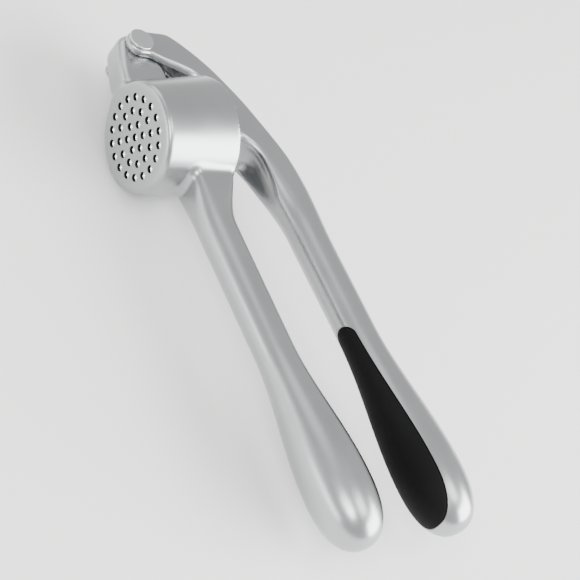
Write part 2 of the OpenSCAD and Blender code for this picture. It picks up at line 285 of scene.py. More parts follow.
@dataclass(frozen=True)
class Mesher:
    """Turns a distance field into a closed mesh of nearly square faces.

    The field is worked out only in blocks of cells that lie near the surface. The
    vertices are then evened out and brought back onto it along the gradient.
    """

    cell: float = 0.55
    block: int = 4
    near_blocks: float = 1.6
    relax: int = 3
    ease: float = 0.6
    newton: int = 2
    probe: float = 0.02
    least_slope: float = 0.05

    def mesh(self, distance: Distance, low: Vector, high: Vector) -> tuple[Array, Array]:
        """Mesh the zero surface of a distance field.

        Args:
            distance: Signed distance of an array of points.
            low: Lowest corner of the box to search.
            high: Highest corner of the box.

        Returns:
            The vertices and the quads.
        """
        low = np.array(low, float) - 2 * self.cell
        blocks = np.ceil((np.array(high, float) - low) / (self.cell * self.block)).astype(int) + 1
        values = self._sample(distance, low, blocks)
        verts, quads = self._net(values, low)
        return self._settle(distance, verts, quads), quads

    def _sample(self, distance: Distance, low: Array, blocks: Array) -> Array:
        """Work out the field on the grid, roughly where the surface is far away.

        Args:
            distance: Signed distance of an array of points.
            low: Lowest corner of the grid.
            blocks: Number of blocks along each axis.

        Returns:
            The field at each corner of the grid.
        """
        side = self.cell * self.block
        index = np.stack(np.meshgrid(*[np.arange(n) for n in blocks], indexing="ij"), -1).reshape(-1, 3)
        middle = distance(low + (index + 0.5) * side)
        rough = np.where(middle < 0, -1.0, 1.0).reshape(blocks)
        values = rough.repeat(self.block, 0).repeat(self.block, 1).repeat(self.block, 2)
        near = index[np.abs(middle) < self.near_blocks * side]
        step = np.stack(np.meshgrid(*[np.arange(self.block)] * 3, indexing="ij"), -1).reshape(-1, 3)
        at = (near[:, None] * self.block + step[None]).reshape(-1, 3)
        values[tuple(at.T)] = distance(low + at * self.cell)
        return values

    def _net(self, values: Array, low: Array) -> tuple[Array, Array]:
        """Place one vertex in each cell that the surface crosses and join them with quads.

        Args:
            values: Field at each corner of the grid.
            low: Lowest corner of the grid.

        Returns:
            The vertices and the quads.
        """
        inside = values < 0
        corners = [(i, j, k) for i in (0, 1) for j in (0, 1) for k in (0, 1)]
        n = np.array(values.shape) - 1
        count = np.zeros(n, np.int8)
        for i, j, k in corners:
            count += inside[i : i + n[0], j : j + n[1], k : k + n[2]]
        cells = np.argwhere((count > 0) & (count < 8))
        number = np.full(n, -1, np.int64)
        number[tuple(cells.T)] = np.arange(len(cells))
        total, hits = np.zeros((len(cells), 3)), np.zeros(len(cells))
        for a in corners:
            for axis in range(3):
                if a[axis]:
                    continue
                b = list(a)
                b[axis] = 1
                va, vb = (values[tuple((cells + c).T)] for c in (a, b))
                cut = (va < 0) != (vb < 0)
                t = va[cut] / (va[cut] - vb[cut])
                point = np.tile(np.array(a, float), (len(t), 1))
                point[:, axis] = t
                total[cut] += point
                hits[cut] += 1
        verts = low + (cells + total / hits[:, None]) * self.cell
        return verts, self._quads(inside, number)

    @staticmethod
    def _quads(inside: Array, number: Array) -> Array:
        """Make a quad for each grid edge that the surface crosses, facing outwards.

        Args:
            inside: Whether each corner of the grid is inside.
            number: Number of the vertex in each cell.

        Returns:
            The quads.
        """
        rows = []
        for axis in range(3):
            u, v = (axis + 1) % 3, (axis + 2) % 3
            first = [slice(1, -1)] * 3
            first[axis] = slice(0, -1)
            second = list(first)
            second[axis] = slice(1, None)
            a, b = inside[tuple(first)], inside[tuple(second)]
            at = np.argwhere(a != b)
            leaves = a[tuple(at.T)]
            for k in (u, v):
                at[:, k] += 1
            loop = []
            for du, dv in ((1, 1), (0, 1), (0, 0), (1, 0)):
                c = at.copy()
                c[:, u] -= du
                c[:, v] -= dv
                loop.append(number[tuple(c.T)])
            loop = np.stack(loop, 1)
            rows.append(np.where(leaves[:, None], loop, loop[:, ::-1]))
        return np.vstack(rows)

    def _settle(self, distance: Distance, verts: Array, quads: Array) -> Array:
        """Even out the vertices and bring them back onto the surface.

        Args:
            distance: Signed distance of an array of points.
            verts: Vertices near the surface.
            quads: Quads that join them.

        Returns:
            The settled vertices.
        """
        edges = np.vstack([quads[:, [i, (i + 1) % 4]] for i in range(4)])
        degree = np.maximum(np.bincount(edges[:, 0], minlength=len(verts)), 1)[:, None]
        for _ in range(self.relax):
            moved = [np.bincount(edges[:, 0], verts[edges[:, 1], k], len(verts)) for k in range(3)]
            verts = mix(verts, np.stack(moved, 1) / degree, self.ease)
            verts = self._project(distance, verts)
        for _ in range(self.newton):
            verts = self._project(distance, verts)
        return verts

    def _project(self, distance: Distance, verts: Array) -> Array:
        """Move each vertex along the gradient to the zero surface.

        Args:
            distance: Signed distance of an array of points.
            verts: Vertices near the surface.

        Returns:
            The moved vertices.
        """
        tips = np.array([(1, -1, -1), (-1, -1, 1), (-1, 1, -1), (1, 1, 1)], float)
        rises = [tip * distance(verts + self.probe * tip)[:, None] for tip in tips]
        gradient = sum(rises) / (len(tips) * self.probe)
        slope = np.maximum((gradient**2).sum(1), self.least_slope)
        step = -(distance(verts) / slope)[:, None] * gradient
        length = np.linalg.norm(step, axis=1, keepdims=True)
        return verts + step * np.minimum(1.0, self.cell / np.maximum(length, TINY))


def make_object(name: str, verts: Array, faces: Any, material: Material) -> Object:
    """Make a mesh object from vertices in millimetres.

    Args:
        name: Name of the object and its mesh.
        verts: Vertices in the frame of the part.
        faces: Rows of vertex numbers.
        material: Finish of the whole mesh.

    Returns:
        The new object, linked to the scene.
    """
    mesh = bpy.data.meshes.new(name)
    mesh.from_pydata((np.asarray(verts) * MM).tolist(), [], [list(map(int, f)) for f in faces])
    mesh.validate()
    mesh.materials.append(material)
    obj = bpy.data.objects.new(name, mesh)
    bpy.context.scene.collection.objects.link(obj)
    shade(obj)
    return obj


def shade(obj: Object, sharp_degrees: float = 32.0) -> None:
    """Shade an object smooth, apart from the edges that turn by more than an angle."""
    obj.data.shade_smooth()
    obj.data.set_sharp_from_angle(angle=math.radians(sharp_degrees))


def face_outwards(obj: Object, merge_mm: float = 0.0001) -> None:
    """Merge the doubles of a closed mesh and turn its faces outwards.

    Args:
        obj: Object with a closed mesh.
        merge_mm: Distance under which two vertices become one.
    """
    work = bmesh.new()
    work.from_mesh(obj.data)
    bmesh.ops.remove_doubles(work, verts=work.verts, dist=merge_mm * MM)
    bmesh.ops.recalc_face_normals(work, faces=work.faces)
    work.to_mesh(obj.data)
    work.free()
    shade(obj)


def lathe(section: Sequence[tuple[float, float]], segments: int = 96) -> tuple[Array, list[list[int]]]:
    """Turn a closed section about the Z axis.

    Points on the axis leave doubles, which face_outwards merges.

    Args:
        section: Radius and height of each point. The last one joins the first.
        segments: Faces round the axis.

    Returns:
        The vertices and the faces.
    """
    a = np.linspace(0.0, 2 * math.pi, segments, endpoint=False)
    rings = [np.stack([r * np.cos(a), r * np.sin(a), np.full(segments, h)], 1) for r, h in section]
    faces: list[list[int]] = []
    for k, (r, _) in enumerate(section):
        above = (k + 1) % len(section)
        if r == section[above][0] == 0.0:
            continue
        for s in range(segments):
            t = (s + 1) % segments
            faces.append([k * segments + s, k * segments + t, above * segments + t, above * segments + s])
    return np.vstack(rings), faces


def cut_away(obj: Object, cutter: Object) -> None:
    """Cut one mesh out of another, keep the result as a plain mesh and remove the cutter.

    The new faces keep the cutter's materials, which join the mesh's own.

    Args:
        obj: Object that is cut.
        cutter: Closed mesh with its own materials.
    """
    theirs = list(cutter.data.materials)
    slots = list(dict.fromkeys([*obj.data.materials, *theirs]))
    for part in (obj, cutter):
        set_slots(part.data, slots)
    modifier = obj.modifiers.new("cut", "BOOLEAN")
    modifier.operation = "DIFFERENCE"
    modifier.solver = "MANIFOLD"
    modifier.object = cutter
    graph = bpy.context.evaluated_depsgraph_get()
    result = bpy.data.meshes.new_from_object(obj.evaluated_get(graph))
    obj.modifiers.remove(modifier)
    obj.data, old = result, obj.data
    bpy.data.meshes.remove(old)
    result.name = obj.name
    bpy.data.objects.remove(cutter)
    shade(obj)


def set_slots(mesh: bpy.types.Mesh, slots: Sequence[Material]) -> None:
    """Give a mesh a list of materials, and keep the material of each face.

    Args:
        mesh: Mesh with materials that are all in the list.
        slots: Its materials from now on.
    """
    order = [slots.index(m) for m in mesh.materials]
    numbers = [order[face.material_index] for face in mesh.polygons]
    mesh.materials.clear()
    for material in slots:
        mesh.materials.append(material)
    mesh.polygons.foreach_set("material_index", numbers)


# ---------------------------------------------------------------- finishes


def linear(colour: str) -> tuple[float, float, float, float]:
    """Turn an sRGB colour into the linear one that shaders take.

    Args:
        colour: Hex value such as #b9bbbc.

    Returns:
        Red, green, blue and full opacity.
    """
    parts = [int(colour[i : i + 2], 16) / 255 for i in (1, 3, 5)]
    r, g, b = (c / 12.92 if c <= 0.04045 else ((c + 0.055) / 1.055) ** 2.4 for c in parts)
    return r, g, b, 1.0


def add_node(tree: Tree, kind: str, **values: Any) -> bpy.types.Node:
    """Add a node with its settings, its inputs and its links.

    Args:
        tree: Tree that takes the node.
        kind: Identifier of the node's type.
        **values: Settings by attribute name, and inputs by name with underscores for
            spaces, or as in0, in1 by place. An output socket as a value is linked.

    Returns:
        The new node.
    """
    node = tree.nodes.new(kind)
    for key, value in values.items():
        if hasattr(node, key):
            setattr(node, key, value)
            continue
        by_place = key[:2] == "in" and key[2:].isdigit()
        socket = node.inputs[int(key[2:]) if by_place else key.replace("_", " ")]
        if isinstance(value, Socket):
            tree.links.new(value, socket)
        else:
            socket.default_value = value
    return node


@dataclass(frozen=True)
class Finish:
    """What every finish shares: a name, a colour and a way to build the material.

    Each relief in a finish is its strength and its depth in millimetres.
    """

    name: str
    colour: str

    def material(self) -> Material:
        """Build the material, or take it if it is there already.

        Returns:
            The material.
        """
        made = bpy.data.materials.get(self.name)
        if made is not None:
            return made
        made = bpy.data.materials.new(self.name)
        made.use_nodes = True
        tree = made.node_tree
        tree.nodes.clear()
        place = add_node(tree, "ShaderNodeTexCoord").outputs["Object"]
        look = {"Base_Color": linear(self.colour), **self.look(tree, place)}
        shader = add_node(tree, "ShaderNodeBsdfPrincipled", **look)
        add_node(tree, "ShaderNodeOutputMaterial", Surface=shader.outputs["BSDF"])
        return made

    def look(self, tree: Tree, place: Socket) -> dict[str, Any]:
        """Add the textures of this finish and return the shader's inputs that differ."""
        raise NotImplementedError

    @staticmethod
    def relief(tree: Tree, height: Socket, strength: float, depth_mm: float) -> Socket:
        """Return the normal of a surface that is raised by a texture."""
        bump = add_node(tree, "ShaderNodeBump", Height=height, Strength=strength, Distance=depth_mm * MM)
        return bump.outputs["Normal"]

    @staticmethod
    def patches(tree: Tree, texture: Socket, low: float, high: float) -> Socket:
        """Return a value that wanders from low to high over a cloudy texture."""
        spread = {"Value": texture, "From_Min": 0.3, "From_Max": 0.7, "To_Min": low, "To_Max": high}
        return add_node(tree, "ShaderNodeMapRange", **spread).outputs["Result"]


@dataclass(frozen=True)
class SatinCasting(Finish):
    """Zinc die casting, bead blasted and then plated with satin chrome.

    Plating over the blasted skin gives a soft, even sheen with no grain direction, a
    faint fine sparkle and slow changes of gloss where the blast lay thicker. Real blasted
    grain is about 0.08 mm across. It is drawn coarser here so that it shows.
    """

    name: str = "satin_chrome_die_casting"
    colour: str = "#a8aaab"
    roughness: float = 0.3
    gloss_swing: float = 0.025
    tone_swing: float = 0.05
    grain_mm: float = 0.35
    grain_relief: tuple[float, float] = (0.12, 0.02)
    cloud_mm: float = 14.0

    def look(self, tree: Tree, place: Socket) -> dict[str, Any]:
        """Add blasted grain, cloudy gloss and a slight unevenness of tone.

        Args:
            tree: Tree that takes the nodes.
            place: Socket of the object coordinates.

        Returns:
            The shader's inputs.
        """
        kind, coarse, fine = "ShaderNodeTexNoise", 1 / (self.cloud_mm * MM), 1 / (self.grain_mm * MM)
        cloud = add_node(tree, kind, Vector=place, Scale=coarse, Detail=3.0).outputs["Fac"]
        grain = add_node(tree, kind, Vector=place, Scale=fine, Detail=2.0).outputs["Fac"]
        tones = []
        for share in (1 - self.tone_swing, 1 + self.tone_swing):
            tones.append((*(min(1.0, c * share) for c in linear(self.colour)[:3]), 1.0))
        tone = add_node(tree, "ShaderNodeMix", data_type="RGBA", in0=cloud, in6=tones[0], in7=tones[1])
        low, high = self.roughness - self.gloss_swing, self.roughness + self.gloss_swing
        return {
            "Metallic": 1.0,
            "Base_Color": tone.outputs[2],
            "Roughness": self.patches(tree, cloud, low, high),
            "Normal": self.relief(tree, grain, *self.grain_relief),
        }


@dataclass(frozen=True)
class TurnedSteel(Finish):
    """Stainless steel, turned and lightly polished, with fine rings about the pin.

    Tool marks are about 0.05 mm apart. They are drawn coarser here so that they show.
    """

    name: str = "turned_stainless_steel"
    colour: str = "#c6c8c9"
    roughness: float = 0.22
    ring_mm: float = 0.3
    ring_relief: tuple[float, float] = (0.15, 0.01)
    centre: tuple[float, float] = (0.0, 0.0)

    def look(self, tree: Tree, place: Socket) -> dict[str, Any]:
        """Add rings of tool marks about the pin's axis.

        Args:
            tree: Tree that takes the nodes.
            place: Socket of the object coordinates.

        Returns:
            The shader's inputs.
        """
        shift = tuple(-c * MM for c in self.centre)
        centred = add_node(tree, "ShaderNodeMapping", Vector=place, Location=(*shift, 0.0))
        marks = add_node(
            tree,
            "ShaderNodeTexWave",
            wave_type="RINGS",
            rings_direction="Z",
            Vector=centred.outputs["Vector"],
            Scale=1 / (self.ring_mm * MM) / math.pi,
            Distortion=1.5,
            Detail=2.0,
        )
        normal = self.relief(tree, marks.outputs["Fac"], *self.ring_relief)
        return {"Metallic": 1.0, "Roughness": self.roughness, "Normal": normal}


@dataclass(frozen=True)
class SoftRubber(Finish):
    """Black thermoplastic rubber, moulded against a spark-eroded tool, so it is matt."""

    name: str = "moulded_black_rubber"
    colour: str = "#0b0b0b"
    rough: tuple[float, float] = (0.62, 0.75)
    sheen: float = 0.12
    patch_mm: float = 22.0
    pit_mm: float = 0.45
    pit_relief: tuple[float, float] = (0.25, 0.03)

    def look(self, tree: Tree, place: Socket) -> dict[str, Any]:
        """Add the tool's fine texture and faint rubbed patches.

        Args:
            tree: Tree that takes the nodes.
            place: Socket of the object coordinates.

        Returns:
            The shader's inputs.
        """
        coarse, fine = 1 / (self.patch_mm * MM), 1 / (self.pit_mm * MM)
        rubbed = add_node(tree, "ShaderNodeTexNoise", Vector=place, Scale=coarse, Detail=2.0)
        pits = add_node(tree, "ShaderNodeTexVoronoi", Vector=place, Scale=fine)
        return {
            "Specular_IOR_Level": self.sheen,
            "Roughness": self.patches(tree, rubbed.outputs["Fac"], *self.rough),
            "Normal": self.relief(tree, pits.outputs["Distance"], *self.pit_relief),
        }


@dataclass(frozen=True)
class Acetal(Finish):
    """Natural acetal, punched from sheet: off-white, a little waxy, with light shining in."""

    name: str = "natural_acetal_sheet"
    colour: str = "#e4e1d8"
    rough: tuple[float, float] = (0.32, 0.48)
    glow: float = 0.1
    glow_mm: float = 1.0
    mottle_mm: float = 1.5

    def look(self, tree: Tree, place: Socket) -> dict[str, Any]:
        """Add a waxy gloss with faint mottling.

        Args:
            tree: Tree that takes the nodes.
            place: Socket of the object coordinates.

        Returns:
            The shader's inputs.
        """
        scale, (low, high) = 1 / (self.mottle_mm * MM), self.rough
        mottle = add_node(tree, "ShaderNodeTexNoise", Vector=place, Scale=scale, Detail=2.0)
        gloss = add_node(tree, "ShaderNodeMapRange", Value=mottle.outputs["Fac"], To_Min=low, To_Max=high)
        scatter = {"Subsurface_Weight": self.glow, "Subsurface_Scale": self.glow_mm * MM}
        return {**scatter, "Roughness": gloss.outputs["Result"]}


@dataclass(frozen=True)
class PalePaper(Finish):
    """Matt white background paper under the press."""

    name: str = "matt_background_paper"
    colour: str = "#f2f2f1"
    roughness: float = 0.9
    tooth_mm: float = 0.8
    tooth_relief: tuple[float, float] = (0.03, 0.05)

    def look(self, tree: Tree, place: Socket) -> dict[str, Any]:
        """Add a faint tooth.

        Args:
            tree: Tree that takes the nodes.
            place: Socket of the object coordinates.

        Returns:
            The shader's inputs.
        """
        tooth = add_node(tree, "ShaderNodeTexNoise", Vector=place, Scale=1 / (self.tooth_mm * MM))
        normal = self.relief(tree, tooth.outputs["Fac"], *self.tooth_relief)
        return {"Roughness": self.roughness, "Normal": normal}


# ---------------------------------------------------------------- handles and pads


@dataclass(frozen=True)
class HandleForm:
    """Round handle that swells to a teardrop end. Its axis is its own X axis."""

    end: float
    shank_r: float = 6.4
    bulge_r: float = 10.85
    bulge_back: float = 19.8
    swell_len: float = 52.0
    end_power: float = 2.4

    @property
    def bulge_x(self) -> float:
        """Place of the fattest section."""
        return self.end - self.bulge_back

    def radius(self, x: Array) -> Array:
        """Return the radius at distances along the axis."""
        past = np.clip((x - self.bulge_x) / self.bulge_back, 0.0, 1.0)
        return self._swell(x) * (1.0 - past**self.end_power) ** (1.0 / self.end_power)

    def distance(self, x: Array, y: Array, z: Array) -> Array:
        """Return the signed distance to the skin of the handle.

        Args:
            x: Distance of each point along the axis.
            y: First distance across it.
            z: Second distance across it.

        Returns:
            The signed distances.
        """
        across, swell = np.hypot(y, z), self._swell(x)
        past = np.maximum((x - self.bulge_x) / self.bulge_back, 0.0)
        ratio = (past**self.end_power + (across / swell) ** self.end_power) ** (1.0 / self.end_power)
        return np.where(past > 0, (ratio - 1.0) * swell, across - swell)

    def _swell(self, x: Array) -> Array:
        """Return the radius that the shank and the bulge would have without the round end."""
        share = smooth((x - self.bulge_x + self.swell_len) / self.swell_len)
        return mix(self.shank_r, self.bulge_r, share)


@dataclass(frozen=True)
class Placement:
    """Where a handle's own axes lie in the part: an offset in Y and a tilt about a point."""

    axis_y: float
    pivot_x: float
    tilt_degrees: float
    side: Side

    @property
    def turn(self) -> tuple[float, float]:
        """Cosine and sine of the tilt."""
        return math.cos(math.radians(self.tilt_degrees)), math.sin(math.radians(self.tilt_degrees))

    def to_local(self, p: Array) -> tuple[Array, Array, Array]:
        """Turn points of the part into the handle's own coordinates.

        Args:
            p: Rows of x, y and z in the part.

        Returns:
            The handle's x, y and z of the points.
        """
        c, s = self.turn
        x, y = p[:, 0] - self.pivot_x, p[:, 1] - self.axis_y
        return c * x + s * y + self.pivot_x, -s * x + c * y, p[:, 2]

    def to_part(self, local: Array) -> Array:
        """Turn points in the handle's own coordinates into points of the part.

        Args:
            local: Rows of x, y and z, with y towards the pad.

        Returns:
            The rows in the part.
        """
        c, s = self.turn
        x, y = local[:, 0] - self.pivot_x, local[:, 1] * self.side.value
        return np.stack([c * x - s * y + self.pivot_x, s * x + c * y + self.axis_y, local[:, 2]], 1)


@dataclass(frozen=True)
class PadForm:
    """Teardrop grip pad, flush with the handle that it lies in."""

    handle: HandleForm
    slim_w: float = 4.0
    wide_w: float = 9.15
    length: float = 70.5
    end_gap: float = 3.5
    depth: float = 1.6
    low_y: float = 3.5
    low_slope: float = 0.05
    stations: int = 96
    columns: int = 24

    @property
    def far(self) -> float:
        """Place of the end near the end of the handle."""
        return self.handle.end - self.end_gap

    @property
    def near(self) -> float:
        """Place of the slim end."""
        return self.far - self.length

    def half_width(self, x: Array) -> Array:
        """Work out half the width of the pad.

        Args:
            x: Distances along the handle.

        Returns:
            Half the width at each of them.
        """
        end_len = self.handle.bulge_back - self.end_gap
        body = mix(self.slim_w, self.wide_w, smooth((x - self.near) / (self.length - end_len)))
        near = np.clip((x - self.near) / self.slim_w, 0.0, 1.0)
        far = np.clip((x - self.far + end_len) / end_len, 0.0, 1.0)
        power = self.handle.end_power
        return body * np.sqrt(1.0 - (1.0 - near) ** 2) * (1.0 - far**power) ** (1.0 / power)

    def outline(self) -> tuple[Array, Array]:
        """Work out the outline on the +Z side.

        Returns:
            The stations and their normals, as rows of x and z.
        """
        turn = np.linspace(0.0, math.pi, self.stations)
        x = mix(self.near, self.far, (1.0 - np.cos(turn)) / 2)
        rim = np.stack([x, self.half_width(x)], 1)
        run = np.gradient(rim, axis=0)
        run[0], run[-1] = (0.0, 1.0), (0.0, -1.0)
        normal = np.stack([-run[:, 1], run[:, 0]], 1)
        return rim, normal / np.linalg.norm(normal, axis=1, keepdims=True)

    def shell(self, layers: Sequence[tuple[float, float]]) -> tuple[Array, list[list[int]]]:
        """Build a closed pad-shaped block from its floor to its top.

        Args:
            layers: Height over the handle's skin and growth of the outline, from the
                floor up.

        Returns:
            The vertices in the handle's own coordinates, and the faces.
        """
        rim, normal = self.outline()
        rows, cols = self.stations, self.columns
        verts: list[Array] = []
        for height, grow in layers:
            edge = rim + grow * normal
            verts.append(self._seat(edge, height))
            verts.append(self._seat(edge[1:-1] * (1.0, -1.0), height))
        loop = [*range(rows), *range(2 * rows - 3, rows - 1, -1)]
        size = 2 * rows - 2
        faces: list[list[int]] = []
        for k in range(len(layers) - 1):
            for a, b in zip(loop, [*loop[1:], loop[0]]):
                faces.append([k * size + b, k * size + a, (k + 1) * size + a, (k + 1) * size + b])
        start = len(layers) * size
        for level, flip in ((0, False), (len(layers) - 1, True)):
            height, grow = layers[level]
            edge = rim + grow * normal
            for u in np.linspace(1.0, -1.0, cols + 1)[1:-1]:
                verts.append(self._seat(edge[1:-1] * (1.0, u), height))
            grid = np.empty((cols + 1, rows), int)
            base = level * size
            grid[0] = base + np.arange(rows)
            grid[-1, 1:-1] = base + rows + np.arange(rows - 2)
            for c in range(1, cols):
                grid[c, 1:-1] = start + (c - 1) * (rows - 2) + np.arange(rows - 2)
            grid[:, 0], grid[:, -1] = base, base + rows - 1
            start += (cols - 1) * (rows - 2)
            for c in range(cols):
                for r in range(rows - 1):
                    quad = [grid[c, r], grid[c, r + 1], grid[c + 1, r + 1], grid[c + 1, r]]
                    faces.append(list(dict.fromkeys(quad[::-1] if flip else quad)))
        return np.vstack(verts), faces

    def _seat(self, edge: Array, height: float) -> Array:
        """Lift points of the X-Z plane to a height over the handle's skin.

        Args:
            edge: Rows of x and z.
            height: Height over the skin.

        Returns:
            Rows of x, y and z.
        """
        r = self.handle.radius(edge[:, 0]) + height
        least = self.low_y + min(0.0, height) * self.low_slope
        y = np.sqrt(np.maximum(r * r - edge[:, 1] ** 2, least**2))
        return np.stack([edge[:, 0], y, edge[:, 1]], 1)


@dataclass
class Grip:
    """Grip pad and the recess that it lies in."""

    node: str
    body: Body
    form: PadForm
    place: Placement
    gap: float = 0.08
    bevel: float = 0.3
    sink: float = 0.04
    beyond: float = 1.0
    edge_steps: int = 6

    def recess(self, material: Material) -> Object:
        """Make the cutter of the recess, with a fine bevel round its mouth.

        Args:
            material: Finish of the recess.

        Returns:
            The closed cutter.
        """
        mouth = self.gap + self.bevel
        layers = [(-(self.form.depth + self.gap), self.gap), (-self.bevel, self.gap), (0.0, mouth)]
        return self._object(f"{self.node}_recess", [*layers, (self.beyond, mouth + self.beyond)], material)

    def build(self, material: Material) -> Object:
        """Make the pad, with a soft edge all round.

        Args:
            material: Finish of the pad.

        Returns:
            The closed pad.
        """
        layers = [(-self.form.depth, 0.0)]
        for a in np.radians(np.linspace(0.0, 90.0, self.edge_steps)):
            layers.append((-self.sink - self.bevel * (1 - math.sin(a)), self.bevel * (math.cos(a) - 1)))
        return self._object(self.node, layers, material)

    def _object(self, name: str, layers: Sequence[tuple[float, float]], material: Material) -> Object:
        """Make an object from the layers of a shell.

        Args:
            name: Name of the object.
            layers: Height and growth of each layer.
            material: Finish of the object.

        Returns:
            The closed object.
        """
        verts, faces = self.form.shell(layers)
        obj = make_object(name, self.place.to_part(verts), faces, material)
        face_outwards(obj)
        return obj


# ---------------------------------------------------------------- castings


@dataclass(frozen=True)
class Layout:
    """Places that the pieces share, read from the frame."""

    hinge: tuple[float, float]
    plunger_pin: tuple[float, float]
    handle_end: float
    hopper_r: float
    lowest_z: float

    @classmethod
    def from_frame(cls, frame: dict[str, Any]) -> Layout:
        """Read the joints and the nodes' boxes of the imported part.


        Returns:
            The places in millimetres.
        """
        at = {j["name"]: [c / MM for c in j["pos_m"]] for j in frame["joints"]}
        _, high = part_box("hopper_handle")
        return cls(
            hinge=tuple(at["handle_hinge"][:2]),
            plunger_pin=tuple(at["plunger_swing"][:2]),
            handle_end=high.x / MM,
            hopper_r=high.z / MM,
            lowest_z=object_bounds()[0].z / MM,
        )


@dataclass
class Casting:
    """Piece whose skin is where a signed distance is zero."""

    layout: Layout

    def distance(self, p: Array) -> Array:
        """Return the signed distance of points to the piece."""
        raise NotImplementedError

    def build(self, name: str, node: str, material: Material, mesher: Mesher = Mesher()) -> Object:
        """Mesh the piece inside the box of the CAD node that it stands for.

        Args:
            name: Name of the piece.
            node: CAD node that it stands for.
            material: Its finish.
            mesher: How finely it is meshed.

        Returns:
            The closed piece.
        """
        low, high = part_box(node)
        verts, faces = mesher.mesh(self.distance, low / MM, high / MM)
        return make_object(name, verts, faces, material)


@dataclass
class LowerCasting(Casting):
    """Hopper, hinge lug, neck and lower handle, cast in one piece."""

    handle: HandleForm
    place: Placement
    hopper_h: float = 27.5
    face_r: float = 17.9
    face_round: float = 1.8
    lean: float = 0.6
    mouth_round: float = 0.7
    bore_floor_r: float = 14.4
    bore_mouth_r: float = 15.8
    bore_round: float = 1.0
    sieve_t: float = 3.0
    lug_w: float = 10.8
    lug_end_r: float = 6.6
    lug_shift: float = 0.52
    lug_round: float = 2.8
    lug_fillet: Course = Course(3.0, ((2.2, 0.0, 4.0),))
    pin_hole_r: float = 2.55
    pin_hole_round: float = 0.3
    neck_start: float = 15.3
    neck_root: float = 1.5
    neck_end: float = 38.0
    neck_low: float = 11.4
    neck_drop: float = 0.1
    neck_half_w: float = 7.2
    neck_bend: float = 0.85
    neck_quick: float = 1.1
    neck_edge: Course = Course(3.0, ((1.2, 8.0, 14.0),))
    neck_fillet: Course = Course(2.6, ((1.6, 6.0, 18.0),))
    grip_share: Course = Course.share(35.0, 9.0)
    lug: Profile = field(init=False)

    def __post_init__(self) -> None:
        """Draw the side outline of the lug."""
        hx, hy = self.layout.hinge
        end = hx + self.lug_shift
        lower = [(hx - 1.8, hy - 6.2), (-31.0, 4.6), (-26.0, 3.0), (-21.0, 1.9), (hx + 18, 1.3)]
        upper = [(hx + 18, hy + 8.1), (hx + 6.0, hy + 8.0), (end, self.lug_end_r + hy)]
        tip = arc((end, hy), self.lug_end_r, 90, 250)
        self.lug = Profile(np.vstack([tip, spline(lower, 12)[1:], spline(upper, 12)[:-1]]))

    def distance(self, p: Array) -> Array:
        """Work out the signed distance to the casting, without its drilled holes.

        Args:
            p: Rows of x, y and z.

        Returns:
            The signed distance of each point.
        """
        x, y, z = p.T
        hx, hy = self.layout.hinge
        share = y / self.hopper_h
        around = np.hypot((x + self.lean * share) / (1.0 + self.lean * share / self.face_r), z)
        cup = round_max(around - mix(self.face_r, self.layout.hopper_r, share), -y, self.face_round)
        cup = round_max(cup, y - self.hopper_h, self.mouth_round)
        lug = round_max(self.lug(x, y), np.abs(z) - self.lug_w / 2, self.lug_round)
        lug = round_max(lug, self.pin_hole_r - np.hypot(x - hx, y - hy), self.pin_hole_round)
        solid = round_min(cup, lug, self.lug_fillet.at(y))
        solid = round_min(solid, self._neck(x, y, z), self.neck_fillet.at(y))
        solid = np.maximum(solid, -y)
        grip = self.handle.distance(*self.place.to_local(p))
        solid = mix(solid, grip, self.grip_share.at(x))
        height = (y - self.sieve_t) / (self.hopper_h - self.sieve_t)
        bore = np.hypot(x, z) - mix(self.bore_floor_r, self.bore_mouth_r, height)
        return round_max(solid, -round_max(bore, self.sieve_t - y, self.bore_round), self.mouth_round)

    def _neck(self, x: Array, y: Array, z: Array) -> Array:
        """Work out the distance to the neck, boxy at the hopper and round at the handle.

        Args:
            x: X of the points.
            y: Y of the points.
            z: Z of the points.

        Returns:
            The signed distance of each point.
        """
        t = np.clip((x - self.neck_start) / (self.neck_end - self.neck_start), 0.0, 1.0)
        r, axis = self.handle.shank_r, self.place.axis_y
        high = mix(self.hopper_h - self.neck_drop, axis + r, smooth(t**self.neck_bend))
        low = mix(self.neck_low, axis - r, smooth(t))
        half_w = mix(self.neck_half_w, r, smooth(t))
        rounding = mix(self.neck_edge.at(y), r, smooth(t * self.neck_quick))
        flat = round_max(np.maximum(y - high, low - y), np.abs(z) - half_w, rounding)
        return np.maximum(flat, self.neck_start - self.neck_root - x)


